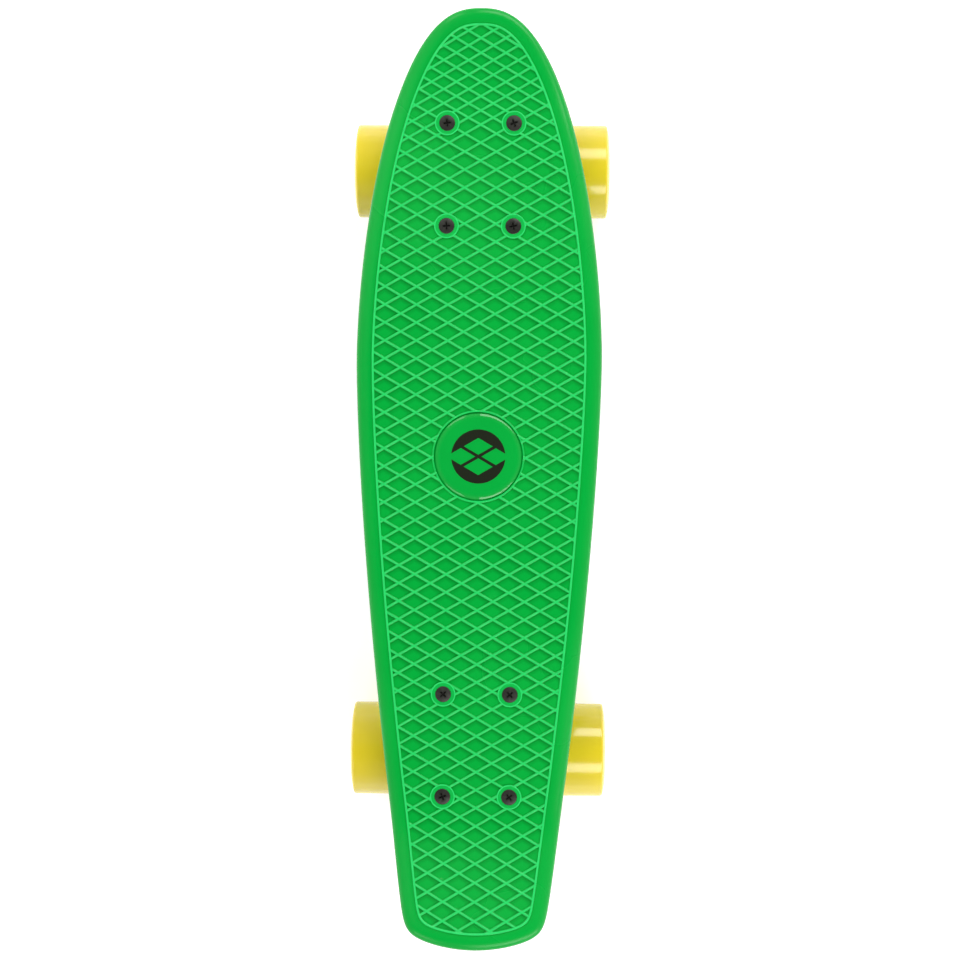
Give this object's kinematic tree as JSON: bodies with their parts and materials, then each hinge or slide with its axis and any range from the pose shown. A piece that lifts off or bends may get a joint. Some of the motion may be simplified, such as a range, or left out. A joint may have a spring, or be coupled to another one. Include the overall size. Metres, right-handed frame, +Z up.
{
  "type": "cruiser skateboard",
  "caption": "Small moulded plastic cruiser skateboard with a raised tail, a domed badge, sprung steering trucks and soft wide wheels.",
  "frame": {"origin": "on the ground, under the middle of the board's length and width", "axes": "+Y to the nose, +Z up, +X to the right of a rider who faces the nose"},
  "size_m": [0.1624, 0.578, 0.1132],
  "materials": {
    "deck_plastic": "satin moulded polypropylene, glossier on its rolled border",
    "badge_resin": "clear domed resin over green",
    "wheel_urethane": "satin cast urethane",
    "cast_aluminium": "tumbled casting",
    "black_urethane": "satin urethane",
    "zinc_steel": "bright zinc plate",
    "bearing_steel": "ground steel",
    "black_steel": "black oxide"
  },
  "bodies": {
    "root": {"deck": "deck_plastic", "badge": "badge_resin", "baseplate_front": "cast_aluminium", "pivot_cup_front": "black_urethane", "kingpin_front": "zinc_steel", "washer_top_front": "zinc_steel", "bushing_top_front": "black_urethane", "bushing_bottom_front": "black_urethane", "washer_bottom_front": "zinc_steel", "kingpin_nut_front": "zinc_steel", "deck_bolt_front_1": "black_steel", "lock_nut_front_1": "black_steel", "deck_bolt_front_2": "black_steel", "lock_nut_front_2": "black_steel", "deck_bolt_front_3": "black_steel", "lock_nut_front_3": "black_steel", "deck_bolt_front_4": "black_steel", "lock_nut_front_4": "black_steel", "baseplate_rear": "cast_aluminium", "pivot_cup_rear": "black_urethane", "kingpin_rear": "zinc_steel", "washer_top_rear": "zinc_steel", "bushing_top_rear": "black_urethane", "bushing_bottom_rear": "black_urethane", "washer_bottom_rear": "zinc_steel", "kingpin_nut_rear": "zinc_steel", "deck_bolt_rear_1": "black_steel", "lock_nut_rear_1": "black_steel", "deck_bolt_rear_2": "black_steel", "lock_nut_rear_2": "black_steel", "deck_bolt_rear_3": "black_steel", "lock_nut_rear_3": "black_steel", "deck_bolt_rear_4": "black_steel", "lock_nut_rear_4": "black_steel"},
    "hanger_front": {"hanger_front": "cast_aluminium", "axle_front": "zinc_steel", "bearing_spacer_front_left": "zinc_steel", "axle_nut_front_left": "zinc_steel", "bearing_spacer_front_right": "zinc_steel", "axle_nut_front_right": "zinc_steel"},
    "wheel_front_left": {"wheel_front_left": "wheel_urethane", "bearing_front_left_inner": "bearing_steel", "bearing_front_left_outer": "bearing_steel"},
    "wheel_front_right": {"wheel_front_right": "wheel_urethane", "bearing_front_right_inner": "bearing_steel", "bearing_front_right_outer": "bearing_steel"},
    "hanger_rear": {"hanger_rear": "cast_aluminium", "axle_rear": "zinc_steel", "bearing_spacer_rear_left": "zinc_steel", "axle_nut_rear_left": "zinc_steel", "bearing_spacer_rear_right": "zinc_steel", "axle_nut_rear_right": "zinc_steel"},
    "wheel_rear_left": {"wheel_rear_left": "wheel_urethane", "bearing_rear_left_inner": "bearing_steel", "bearing_rear_left_outer": "bearing_steel"},
    "wheel_rear_right": {"wheel_rear_right": "wheel_urethane", "bearing_rear_right_inner": "bearing_steel", "bearing_rear_right_outer": "bearing_steel"}
  },
  "joints": [
    {"name": "steer_front", "type": "hinge", "parent": "root", "child": "hanger_front", "pos_m": [0, 0.1716, 0.04992], "axis": [0, 0.9179, 0.3968], "range_deg": [-14, 14], "stiffness_Nm_per_rad": 40, "deforming": ["bushing_top_front", "bushing_bottom_front"]},
    {"name": "spin_front_left", "type": "hinge", "parent": "hanger_front", "child": "wheel_front_left", "pos_m": [-0.0587, 0.1967, 0.02963], "axis": [1, 0, 0], "continuous": true},
    {"name": "spin_front_right", "type": "hinge", "parent": "hanger_front", "child": "wheel_front_right", "pos_m": [0.0587, 0.1967, 0.02963], "axis": [1, 0, 0], "continuous": true},
    {"name": "steer_rear", "type": "hinge", "parent": "root", "child": "hanger_rear", "pos_m": [0, -0.1499, 0.04992], "axis": [0, -0.9179, 0.3968], "range_deg": [-14, 14], "stiffness_Nm_per_rad": 40, "deforming": ["bushing_top_rear", "bushing_bottom_rear"]},
    {"name": "spin_rear_left", "type": "hinge", "parent": "hanger_rear", "child": "wheel_rear_left", "pos_m": [-0.0587, -0.175, 0.02963], "axis": [1, 0, 0], "continuous": true},
    {"name": "spin_rear_right", "type": "hinge", "parent": "hanger_rear", "child": "wheel_rear_right", "pos_m": [0.0587, -0.175, 0.02963], "axis": [1, 0, 0], "continuous": true}
  ]
}
